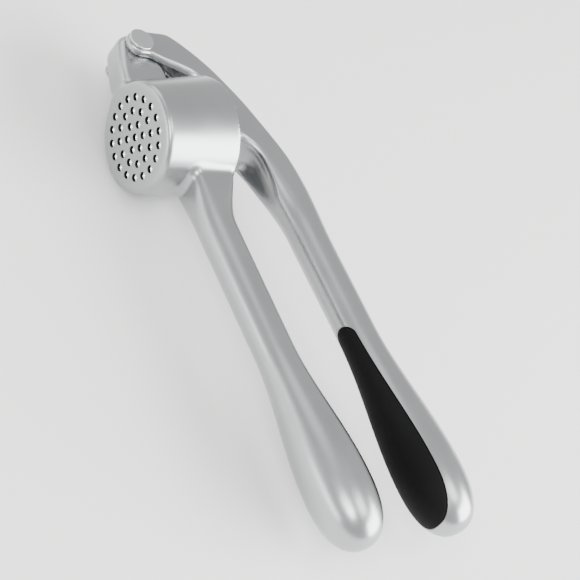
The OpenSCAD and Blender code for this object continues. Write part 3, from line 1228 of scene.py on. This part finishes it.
@dataclass
class UpperCasting(Casting):
    """Fork, channel, plunger post and upper handle, cast in one piece.

    The low edge of the bar is crisp over the hopper and its back is soft. Both grow
    rounder towards the handle. The back begins past a line that rises from the hinge.
    """

    handle: HandleForm
    place: Placement
    fork_half: float = 8.1
    taper: Course = Course.share(-14.0, 54.0)
    fullest: float = 0.995
    low_edge: Course = Course(1.4, ((4.6, -34.0, 24.0), (2.4, -12.0, 12.0)))
    low_growth: Course = Course.share(2.0, 38.0)
    back_edge: float = 2.4
    back_growth: Course = Course.share(-14.0, 56.0)
    back_way: tuple[float, float] = (-0.6, 0.8)
    back_start: float = 2.0
    back_rise: float = 4.5
    back_turn: Course = Course.share(0.0, 30.0)
    back_blend: float = 9.0
    cheek_in: float = 5.6
    end_r: float = 4.8
    washer_r: float = 4.0
    washer_seat: float = 6.0
    channel_round: float = 1.2
    channel_edge: float = 0.3
    scoop_half: Course = Course(5.4, ((4.6, 5.0, 12.0),))
    scoop_round: float = 4.2
    scoop_edge: Course = Course(1.0, ((3.0, 3.0, 9.0),))
    post_w: float = 5.0
    post_r: float = 3.5
    post_edge: float = 0.6
    post_fillet: float = 1.4
    hinge_hole_r: float = 2.52
    pin_hole_r: float = 1.52
    hole_edge: float = 0.2
    blend_x: float = 46.0
    grip_share: Course = Course.share(40.0, 10.0)
    side: Profile = field(init=False)
    hollow: Profile = field(init=False)
    scoop: Profile = field(init=False)
    post: Profile = field(init=False)

    def __post_init__(self) -> None:
        """Draw the side outlines of the bar, the channel, the scoop and the post."""
        hx, hy = self.layout.hinge
        rise = math.tan(math.radians(self.place.tilt_degrees))
        r, far = self.handle.shank_r, self.blend_x + 14
        axis_far = self.place.axis_y + 14 * rise
        top = [
            (hx - 4.8, hy + 0.6), (hx - 5.2, hy + 5.5), (hx - 4.9, hy + 12.0), (hx - 2.7, hy + 15.4),
            (-32.0, 31.9), (-27.6, 35.4), (-21.3, 39.4), (-8.6, 45.8), (3.6, 51.2), (14.0, 55.3),
            (24.0, 57.7), (34.0, 58.3), (self.blend_x, self.place.axis_y + r), (far, axis_far + r),
        ]
        under = [
            (far, axis_far - r), (self.blend_x, self.place.axis_y - r), (33.0, 44.9), (19.0, 42.8),
            (13.0, 41.7), (9.0, 40.4), (6.3, 38.5), (3.8, 36.2), (-1.0, 34.4), (-8.8, 33.4),
            (-19.3, 29.3), (-23.2, 24.5), (-26.0, 19.0), (hx + 5.0, hy + 2.2),
        ]
        end = arc((hx, hy + 0.3), self.end_r, -5, -175, 30)
        self.side = Profile(np.vstack([spline(top, 10), spline(under, 10), end]))
        roof = [
            (hx - 3.0, hy + 11.1), (hx + 0.4, hy + 16.4), (-27.4, 32.4), (-20.6, 36.0), (-12.0, 39.0),
            (-7.0, 39.0), (-4.0, 36.5), (-3.0, 32.0),
        ]
        hollow = [(-3.0, -10.0), (hx - 20, -10.0), (hx - 20, hy + 7.0), (hx - 3.0, hy + 7.0)]
        self.hollow = Profile(np.vstack([spline(roof, 10), np.array(hollow)]), margin=12.0)
        bowl = [
            (4.4, 20.0), (4.5, 35.0), (5.6, 39.3), (8.0, 42.4), (11.5, 44.0), (15.5, 44.3),
            (20.0, 43.8), (25.0, 42.4), (32.0, 39.0), (40.0, 34.0), (40.0, 20.0),
        ]
        self.scoop = Profile(np.vstack([spline(bowl[1:-1], 10), np.array([bowl[-1], bowl[0]])]), margin=12.0)
        px, py = self.layout.plunger_pin
        foot = arc((px, py), self.post_r, -180, 0)
        self.post = Profile(np.vstack([foot, [(px + 5.0, 46.6), (px - 5.0, 45.2)]]))

    def distance(self, p: Array) -> Array:
        """Work out the signed distance to the casting.

        Args:
            p: Rows of x, y and z.

        Returns:
            The signed distance of each point.
        """
        x, y, z = p.T
        hx, hy = self.layout.hinge
        px, py = self.layout.plunger_pin
        bar = round_max(self.side(x, y), np.abs(z) - self._half_width(x), self._rounding(x, y))
        pin = np.hypot(x - hx, y - hy)
        channel = round_max(self.hollow(x, y), np.abs(z) - self.cheek_in, self.channel_round)
        channel = np.minimum(channel, np.maximum(pin - self.washer_r, np.abs(z) - self.washer_seat))
        fork = round_max(bar, -channel, self.channel_edge)
        scoop = round_max(self.scoop(x, y), np.abs(z) - self.scoop_half.at(x), self.scoop_round)
        fork = round_max(fork, -scoop, self.scoop_edge.at(x))
        post = round_max(self.post(x, y), np.abs(z) - self.post_w / 2, self.post_edge)
        fork = round_min(fork, post, self.post_fillet)
        grip = self.handle.distance(*self.place.to_local(p))
        solid = mix(fork, grip, self.grip_share.at(x))
        solid = round_max(solid, self.hinge_hole_r - pin, self.hole_edge)
        return round_max(solid, self.pin_hole_r - np.hypot(x - px, y - py), self.hole_edge)

    def _half_width(self, x: Array) -> Array:
        """Return half the width of the bar along the press."""
        return mix(self.fork_half, self.handle.shank_r, self.taper.at(x))

    def _rounding(self, x: Array, y: Array) -> Array:
        """Work out how round the edges of the bar are.

        Args:
            x: X of the points.
            y: Y of the points.

        Returns:
            The radius at each point.
        """
        hx, hy = self.layout.hinge
        over_bar = self.back_way[0] * (x - hx) + self.back_way[1] * (y - hy) - self.back_start
        over_axis = y - self.place.axis_y + self.back_rise
        back = smooth(mix(over_bar, over_axis, self.back_turn.at(x)) / self.back_blend)
        full = self._half_width(x) * self.fullest
        low_edge = mix(self.low_edge.at(x), full, self.low_growth.at(x))
        return mix(low_edge, mix(self.back_edge, full, self.back_growth.at(x)), back)


@dataclass(frozen=True)
class Perforations:
    """Drilled holes on rings, made as one cutter by a Geometry Nodes tree.

    Each hole is relieved from the outside with a wider drill, whose point leaves a
    sloping shoulder round the through hole. The shoulder catches the light, and its bright
    finish adds a painted highlight, while the dark finish of the walls is painted shade.
    """

    rings: int = 3
    pitch: float = 4.25
    diameter: float = 2.4
    flare: float = 0.1
    turn_degrees: float = -1.0
    depth: float = 4.4
    relief: float = 1.1
    through_r: float = 0.65
    point_slope: float = 0.6
    outside: float = 1.0
    least_slant: float = 0.3
    segments: int = 32

    def inputs(self) -> list[tuple[str, str, Any]]:
        """List the tree's inputs.

        Returns:
            Name, socket type and value in metres of each.
        """
        return [
            ("Rings", "NodeSocketInt", self.rings),
            ("Pitch", "NodeSocketFloat", self.pitch * MM),
            ("Hole Radius", "NodeSocketFloat", self.diameter / 2 * MM),
            ("Flare", "NodeSocketFloat", self.flare * MM),
            ("Turn", "NodeSocketFloat", math.radians(self.turn_degrees)),
            ("Depth", "NodeSocketFloat", self.depth * MM),
            ("Run-out", "NodeSocketFloat", self.outside * MM),
            ("Relief Depth", "NodeSocketFloat", self.relief * MM),
            ("Through Radius", "NodeSocketFloat", self.through_r * MM),
            ("Point Slope", "NodeSocketFloat", self.point_slope),
            ("Segments", "NodeSocketInt", self.segments),
            ("Finish", "NodeSocketMaterial", None),
        ]

    def tree(self) -> tuple[Tree, dict[str, str]]:
        """Build the tree.

        Returns:
            The tree, and the identifier of each input by its name.
        """
        tree = bpy.data.node_groups.new("drilled_holes", "GeometryNodeTree")
        tree.interface.new_socket("Geometry", in_out="OUTPUT", socket_type="NodeSocketGeometry")
        names = {}
        for name, kind, _ in self.inputs():
            names[name] = tree.interface.new_socket(name, in_out="INPUT", socket_type=kind).identifier
        given = add_node(tree, "NodeGroupInput").outputs
        known: dict[str, Any] = {name: given[name] for name in names}
        known["index"] = add_node(tree, "GeometryNodeInputIndex").outputs[0]
        spots, drill = self._spots(tree, known), self._drill(tree, known)
        copies = add_node(tree, "GeometryNodeInstanceOnPoints", Points=spots, Instance=drill)
        real = add_node(tree, "GeometryNodeRealizeInstances", Geometry=copies.outputs[0])
        finish = known["Finish"]
        finished = add_node(tree, "GeometryNodeSetMaterial", Geometry=real.outputs[0], Material=finish)
        add_node(tree, "NodeGroupOutput", Geometry=finished.outputs[0])
        return tree, names

    @staticmethod
    def _work_out(tree: Tree, known: dict[str, Any], sums: Sequence[tuple[Any, ...]]) -> None:
        """Add a chain of sums, each of which can use the results before it.

        Args:
            tree: Tree that takes the nodes.
            known: Sockets and numbers by name. Each result joins them under its own name.
            sums: Name of the result, operation, and its values as numbers or names.
        """
        for name, operation, *values in sums:
            inputs = {f"in{k}": known[v] if isinstance(v, str) else v for k, v in enumerate(values)}
            known[name] = add_node(tree, "ShaderNodeMath", operation=operation, **inputs).outputs[0]

    def _spots(self, tree: Tree, known: dict[str, Any]) -> Socket:
        """Place one point for each hole, in rings about the middle.

        Hole n lies on ring (root(12 n + 9) - 3) / 6, rounded up.

        Args:
            tree: Tree that takes the nodes.
            known: Sockets by name.

        Returns:
            The socket of the points.
        """
        sums = (
            ("sides", "MULTIPLY", "Rings", 3.0),
            ("next ring", "ADD", "Rings", 1.0),
            ("count", "MULTIPLY_ADD", "sides", "next ring", 1.0),
            ("square", "MULTIPLY_ADD", "index", 12.0, 9.0),
            ("root", "SQRT", "square"),
            ("share", "MULTIPLY_ADD", "root", 1 / 6, -0.51),
            ("ring", "CEIL", "share"),
            ("last ring", "SUBTRACT", "ring", 1.0),
            ("pairs", "MULTIPLY", "ring", "last ring"),
            ("before", "MULTIPLY_ADD", "pairs", 3.0, 1.0),
            ("place", "SUBTRACT", "index", "before"),
            ("some", "MAXIMUM", "ring", 1.0),
            ("step", "DIVIDE", math.pi / 3, "some"),
            ("angle", "MULTIPLY_ADD", "place", "step", "Turn"),
            ("across", "COSINE", "angle"),
            ("along", "SINE", "angle"),
            ("radius", "MULTIPLY", "ring", "Pitch"),
            ("x", "MULTIPLY", "radius", "across"),
            ("z", "MULTIPLY", "radius", "along"),
            ("minus z", "MULTIPLY", "z", -1.0),
        )
        self._work_out(tree, known, sums)
        points = add_node(tree, "GeometryNodePoints", Count=known["count"])
        spot = add_node(tree, "ShaderNodeCombineXYZ", X=known["x"], Z=known["minus z"])
        placed = add_node(
            tree, "GeometryNodeSetPosition", Geometry=points.outputs[0], Position=spot.outputs[0]
        )
        return placed.outputs[0]

    def _drill(self, tree: Tree, known: dict[str, Any]) -> Socket:
        """Add one stepped drill along Y, from outside the drilled face inwards.

        Args:
            tree: Tree that takes the nodes.
            known: Sockets by name.

        Returns:
            The socket of the drill's mesh.
        """
        sums = (
            ("start", "MULTIPLY", "Run-out", -1.0),
            ("mouth", "ADD", "Hole Radius", "Flare"),
            ("outside", "ADD", "mouth", "Run-out"),
            ("ledge", "SUBTRACT", "Hole Radius", "Through Radius"),
            ("floor", "MULTIPLY_ADD", "ledge", "Point Slope", "Relief Depth"),
        )
        self._work_out(tree, known, sums)
        stations = (
            ("start", "outside"), (0.0, "mouth"), ("Flare", "Hole Radius"),
            ("Relief Depth", "Hole Radius"), ("floor", "Through Radius"), ("Depth", "Through Radius"),
        )
        known.update({"y": 0.0, "r": 0.0})
        for k, (y, r) in enumerate(stations):
            self._work_out(tree, known, (
                ("here", "COMPARE", "index", float(k), 0.1),
                ("y", "MULTIPLY_ADD", "here", y, "y"),
                ("r", "MULTIPLY_ADD", "here", r, "r"),
            ))
        far = add_node(tree, "ShaderNodeCombineXYZ", Y=known["Depth"])
        line = add_node(tree, "GeometryNodeCurvePrimitiveLine", End=far.outputs[0])
        fine = add_node(tree, "GeometryNodeResampleCurve", Curve=line.outputs[0], Count=len(stations))
        spot = add_node(tree, "ShaderNodeCombineXYZ", Y=known["y"]).outputs[0]
        bent = add_node(tree, "GeometryNodeSetPosition", Geometry=fine.outputs[0], Position=spot)
        sized = add_node(tree, "GeometryNodeSetCurveRadius", Curve=bent.outputs[0], Radius=known["r"])
        segments = known["Segments"]
        circle = add_node(tree, "GeometryNodeCurvePrimitiveCircle", Resolution=segments, Radius=1.0)
        body = add_node(
            tree,
            "GeometryNodeCurveToMesh",
            Curve=sized.outputs[0],
            Profile_Curve=circle.outputs[0],
            Scale=add_node(tree, "GeometryNodeInputRadius").outputs[0],
            Fill_Caps=True,
        )
        return body.outputs[0]

    def build(self, wall_painted_shade: Material, shoulder_painted_highlight: Material) -> Object:
        """Make all the drills as one plain mesh.

        Args:
            wall_painted_shade: Finish of the holes' walls, dark: painted shade in the holes.
            shoulder_painted_highlight: Finish of the shoulders that the drill point cuts, bright: a painted
                highlight.

        Returns:
            The closed cutter.
        """
        tree, names = self.tree()
        carrier = bpy.data.objects.new("drills", bpy.data.meshes.new("drills"))
        bpy.context.scene.collection.objects.link(carrier)
        modifier = carrier.modifiers.new("drilled_holes", "NODES")
        modifier.node_group = tree
        for name, _, value in self.inputs():
            modifier[names[name]] = wall_painted_shade if value is None else value
        graph = bpy.context.evaluated_depsgraph_get()
        mesh = bpy.data.meshes.new_from_object(carrier.evaluated_get(graph))
        carrier.modifiers.remove(modifier)
        carrier.data = mesh
        mesh.materials.clear()
        face_outwards(carrier)
        for finish in (wall_painted_shade, shoulder_painted_highlight):
            mesh.materials.append(finish)
        # Sloping faces of the shoulder take the bright painted highlight, the rest the dark painted shade.
        for face in mesh.polygons:
            within = self.relief < face.center.y / MM < self.depth - self.flare
            face.material_index = int(within and abs(face.normal.y) > self.least_slant)
        return carrier


@dataclass
class Plunger(Casting):
    """Crowned plate with two ears that swing on the plunger's pin."""

    plate_r: float = 13.8
    plate_t: float = 5.0
    plate_y: float = 5.9
    plate_edge: float = 0.5
    ear_r: float = 3.5
    ear_in: float = 2.8
    ear_t: float = 2.0
    ear_edge: float = 0.45
    ear_fillet: float = 0.7
    ear_root: float = 1.0
    flare: float = 1.5
    pin_hole_r: float = 1.55
    hole_edge: float = 0.2
    ears: Profile = field(init=False)

    def __post_init__(self) -> None:
        """Draw the side outline of an ear."""
        px, py = self.layout.plunger_pin
        foot = self.plate_y + self.plate_t / 2 - self.ear_root
        half = self.ear_r + self.flare
        feet = [(px - half, foot), (px + half, foot)]
        self.ears = Profile(np.vstack([arc((px, py), self.ear_r, 0, 180), feet]))

    def distance(self, p: Array) -> Array:
        """Work out the signed distance to the plunger.

        Args:
            p: Rows of x, y and z.

        Returns:
            The signed distance of each point.
        """
        x, y, z = p.T
        px, py = self.layout.plunger_pin
        crown = np.sqrt((x - px) ** 2 + (y - self.plate_y) ** 2 + z**2) - self.plate_r
        plate = round_max(crown, np.abs(y - self.plate_y) - self.plate_t / 2, self.plate_edge)
        middle = self.ear_in + self.ear_t / 2
        ears = round_max(self.ears(x, y), np.abs(np.abs(z) - middle) - self.ear_t / 2, self.ear_edge)
        solid = round_min(plate, ears, self.ear_fillet)
        return round_max(solid, self.pin_hole_r - np.hypot(x - px, y - py), self.hole_edge)


@dataclass(frozen=True)
class PinHead:
    """Shallow dished head of the hinge pin, a little undercut where it meets the cheek."""

    radius: float = 4.3
    height: float = 1.2
    dish: float = 0.5
    edge: float = 0.35
    undercut: float = 0.5
    gap: float = 0.5
    lead: float = 0.1
    shank_r: float = 2.5

    def profile(self, seat: float) -> list[tuple[float, float]]:
        """Draw the head from the cheek up.

        Args:
            seat: Height of the cheek's outer face.

        Returns:
            Radius and height of each point, up to the middle of the dish.
        """
        top, neck = seat + self.height, self.radius - self.undercut
        foot = [(neck, seat), (neck, seat + self.gap), (self.radius - self.lead, seat + self.gap)]
        rim = arc((self.radius - self.edge, top - self.edge), self.edge, 0, 90, 8)
        lip = self.radius - 2 * self.edge
        bowl = [(lip * t, top - self.dish * (1 - t * t)) for t in np.linspace(1.0, 0.0, 9)]
        return [*foot, *map(tuple, rim), *bowl]


@dataclass
class HingePin:
    """Hinge pin with its own head, and the second head on its plain end."""

    layout: Layout
    head: PinHead = PinHead()
    seat: float = 8.1

    def build(self, material: Material) -> list[tuple[Object, str]]:
        """Turn both pieces.

        Args:
            material: Finish of both.

        Returns:
            The pieces, each with the CAD node that it stands for.
        """
        head = self.head.profile(self.seat)
        shank = [(0.0, -self.seat), (self.head.shank_r, -self.seat), (self.head.shank_r, self.seat)]
        made = []
        for name, foot, turn in (("hinge_pin", shank, 1.0), ("hinge_pin_cap", [(0.0, self.seat)], -1.0)):
            verts, faces = lathe([*foot, *head])
            verts = verts * (1.0, turn, turn) + (*self.layout.hinge, 0.0)
            obj = make_object(f"{name}_turned", verts, faces, material)
            face_outwards(obj)
            made.append((obj, name))
        return made


@dataclass(frozen=True)
class Washer:
    """Thin ring between the lug and a cheek, with softly broken edges."""

    node: str
    side: float
    outer_r: float = 3.9
    inner_r: float = 2.56
    inner_z: float = 5.43
    outer_z: float = 5.96
    edge: float = 0.12

    def build(self, layout: Layout, material: Material) -> Object:
        """Make the ring about the hinge pin.

        Args:
            layout: Place of the hinge.
            material: Finish of the ring.

        Returns:
            The closed ring.
        """
        e = self.edge
        section = [
            (self.inner_r, self.inner_z + e), (self.inner_r + e, self.inner_z),
            (self.outer_r - e, self.inner_z), (self.outer_r, self.inner_z + e),
            (self.outer_r, self.outer_z - e), (self.outer_r - e, self.outer_z),
            (self.inner_r + e, self.outer_z), (self.inner_r, self.outer_z - e),
        ]
        verts, faces = lathe(section)
        verts = verts * (1.0, 1.0, self.side) + (*layout.hinge, 0.0)
        ring = make_object(f"{self.node}_ring", verts, faces, material)
        face_outwards(ring)
        return ring


# ---------------------------------------------------------------- studio


@dataclass(frozen=True)
class Softbox:
    """Soft lamp that faces the press, placed by the way to it from there."""

    name: str
    azimuth: float
    elevation: float
    size: tuple[float, float]
    power: float
    distance: float = 1.0

    def way(self) -> Vector:
        """Return the direction from the press to the lamp."""
        turn, rise = math.radians(self.azimuth), math.radians(self.elevation)
        return Vector((math.cos(turn) * math.cos(rise), math.sin(turn) * math.cos(rise), math.sin(rise)))


@dataclass
class Studio:
    """Pale floor, soft lamps and the camera."""

    layout: Layout
    target: tuple[float, float, float] = (0.055, 0.03, 0.0)
    lamps: tuple[Softbox, ...] = (
        Softbox("key", 47, 27, (0.95, 0.75), 30.0),
        Softbox("low_strip", 268, 5, (0.8, 0.2), 2.9),
        Softbox("camera_side", 290, 50, (0.45, 0.4), 3.9),
        Softbox("edge_light", 303, 48, (0.22, 0.2), 1.6),
        Softbox("top", 16, 74, (0.42, 0.42), 3.2),
        Softbox("left", 186, 29, (0.6, 0.5), 1.8),
        Softbox("back_left", 205, 52, (0.5, 0.45), 0.7),
        Softbox("low_left", 225, 10, (0.6, 0.3), 1.4),
    )
    world: float = 0.95
    floor_half: float = 1500.0
    floor_gap: float = 0.05
    lens_mm: float = 105.5
    camera_place: tuple[float, float, float] = (0.2741, -0.3167, 0.3447)
    camera_axes: tuple[tuple[float, float, float], ...] = (
        (0.393, 0.756, 0.524),
        (-0.828, 0.044, 0.559),
        (0.399, -0.653, 0.643),
    )

    def build(self) -> None:
        """Set up the floor, the lamps, the world and the camera."""
        self._floor()
        for lamp in self.lamps:
            self._lamp(lamp)
        self._world()
        self._camera()

    def _floor(self) -> None:
        """Lay the paper under the lowest place of the part."""
        half, z = self.floor_half, self.layout.lowest_z - self.floor_gap
        corners = np.array([(-half, -half, z), (half, -half, z), (half, half, z), (-half, half, z)])
        floor = make_object("floor", corners, [(0, 1, 2, 3)], PalePaper().material())
        floor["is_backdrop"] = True

    def _lamp(self, lamp: Softbox) -> None:
        """Hang one softbox and turn it to the target.

        Args:
            lamp: Its place, size and power.
        """
        data = bpy.data.lights.new(lamp.name, "AREA")
        data.shape = "RECTANGLE"
        data.size, data.size_y = lamp.size
        data.energy = lamp.power
        obj = bpy.data.objects.new(lamp.name, data)
        way = lamp.way()
        place = Matrix.Translation(Vector(self.target) + way * lamp.distance)
        obj.matrix_world = place @ way.to_track_quat("Z", "Y").to_matrix().to_4x4()
        bpy.context.scene.collection.objects.link(obj)

    def _world(self) -> None:
        """Fill the room with even light."""
        world = bpy.data.worlds.new("room")
        world.use_nodes = True
        air = world.node_tree.nodes["Background"].inputs
        air["Color"].default_value = linear("#ffffff")
        air["Strength"].default_value = self.world
        bpy.context.scene.world = world

    def _camera(self) -> None:
        """Place the camera."""
        data = bpy.data.cameras.new("camera")
        data.sensor_width = 36.0
        data.lens = self.lens_mm
        data.clip_start, data.clip_end = 0.01, 10.0
        camera = bpy.data.objects.new("camera", data)
        axes = [Vector(a).normalized() for a in self.camera_axes]
        turn = Matrix((axes[0], axes[1], axes[2])).transposed().to_4x4()
        camera.matrix_world = Matrix.Translation(Vector(self.camera_place)) @ turn
        bpy.context.scene.collection.objects.link(camera)
        bpy.context.scene.camera = camera


# ---------------------------------------------------------------- assembly


@dataclass
class GarlicPress:
    """The whole press.

    The walls of the drilled holes carry a dark copy of the casting finish, painted shade
    in the holes, and the shoulders near the face a bright copy, a painted highlight.
    """

    frame: dict[str, Any]
    layout: Layout
    low_short: float = 0.9
    low_bulge_r: float = 10.7
    low_swell: float = 48.0
    high_bulge_r: float = 10.68
    low_place: Placement = Placement(axis_y=15.8, pivot_x=46.0, tilt_degrees=0.2, side=Side.UP)
    high_place: Placement = Placement(axis_y=51.7, pivot_x=46.0, tilt_degrees=1.3, side=Side.DOWN)
    plunger_cell: float = 0.4
    cast: SatinCasting = SatinCasting()
    # Dark copy of the casting finish on the holes' walls: painted shade in the holes.
    hole_wall_painted_shade: SatinCasting = SatinCasting("painted_shade_hole_wall", "#2c2d2e", 0.35)
    # Bright copy of the casting finish on the drill shoulders: a painted highlight in the holes.
    shoulder_painted_highlight: SatinCasting = SatinCasting("painted_highlight_shoulder", "#eeeff0", 0.16)
    rubber: SoftRubber = SoftRubber()
    acetal: Acetal = Acetal()

    def build(self) -> None:
        """Build every piece and tie it to its body."""
        end = self.layout.handle_end
        low_form = HandleForm(end - self.low_short, bulge_r=self.low_bulge_r, swell_len=self.low_swell)
        high_form = HandleForm(end, bulge_r=self.high_bulge_r)
        low_grip = Grip("lower_grip_pad", Body.LOWER, PadForm(low_form), self.low_place)
        high_grip = Grip("upper_grip_pad", Body.UPPER, PadForm(high_form), self.high_place)
        metal = self.cast.material()
        steel = TurnedSteel(centre=self.layout.hinge).material()

        lower = LowerCasting(self.layout, low_form, self.low_place)
        hopper = lower.build("hopper_casting", "hopper_handle", metal)
        cut_away(hopper, Perforations().build(self.hole_wall_painted_shade.material(), self.shoulder_painted_highlight.material()))
        cut_away(hopper, low_grip.recess(metal))
        self._attach(hopper, Body.LOWER, "hopper_handle", Slot.CASTING)

        upper = UpperCasting(self.layout, high_form, self.high_place)
        fork = upper.build("fork_casting", "upper_handle", metal)
        cut_away(fork, high_grip.recess(metal))
        self._attach(fork, Body.UPPER, "upper_handle", Slot.CASTING)

        rubber = self.rubber.material()
        for grip in (low_grip, high_grip):
            self._attach(grip.build(rubber), grip.body, grip.node, Slot.GRIP)
        for pin, node in HingePin(self.layout).build(steel):
            self._attach(pin, Body.UPPER, node, Slot.STEEL)
        fine = Mesher(cell=self.plunger_cell)
        plunger = Plunger(self.layout).build("plunger_casting", "plunger", metal, fine)
        self._attach(plunger, Body.PLUNGER, "plunger", Slot.CASTING)
        self._finish_node("plunger_pin", TurnedSteel("drawn_pin_steel", centre=self.layout.plunger_pin))
        acetal = self.acetal.material()
        for washer in (Washer("front_washer", 1.0), Washer("back_washer", -1.0)):
            self._attach(washer.build(self.layout, acetal), Body.UPPER, washer.node, Slot.WASHER)

    def _attach(self, obj: Object, body: Body, node: str, slot: Slot) -> None:
        """Tie a piece to its body and hide the CAD node that it stands for.

        Args:
            obj: The piece.
            body: Body that it moves with.
            node: CAD node that it stands for.
            slot: Slot that its finish belongs to. Not used.
        """
        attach(obj, body.value)
        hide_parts(node)
        self._report(obj)

    def _finish_node(self, node: str, finish: Finish) -> None:
        """Give a CAD node its finish.

        Args:
            node: Node that shows as it is.
            finish: Its finish.
        """
        obj = self.frame["nodes"][node]
        obj.data.materials.clear()
        obj.data.materials.append(finish.material())
        self._report(obj)

    @staticmethod
    def _report(obj: Object) -> None:
        """Log the size of a piece."""
        LOG.info("%s: %d vertices, %d faces", obj.name, len(obj.data.vertices), len(obj.data.polygons))


def main() -> None:
    """Load the frame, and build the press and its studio."""
    logging.basicConfig(level=logging.INFO, format="%(name)s: %(message)s")
    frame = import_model()
    layout = Layout.from_frame(frame)
    GarlicPress(frame, layout).build()
    Studio(layout).build()


if __name__ == "__main__":
    main()
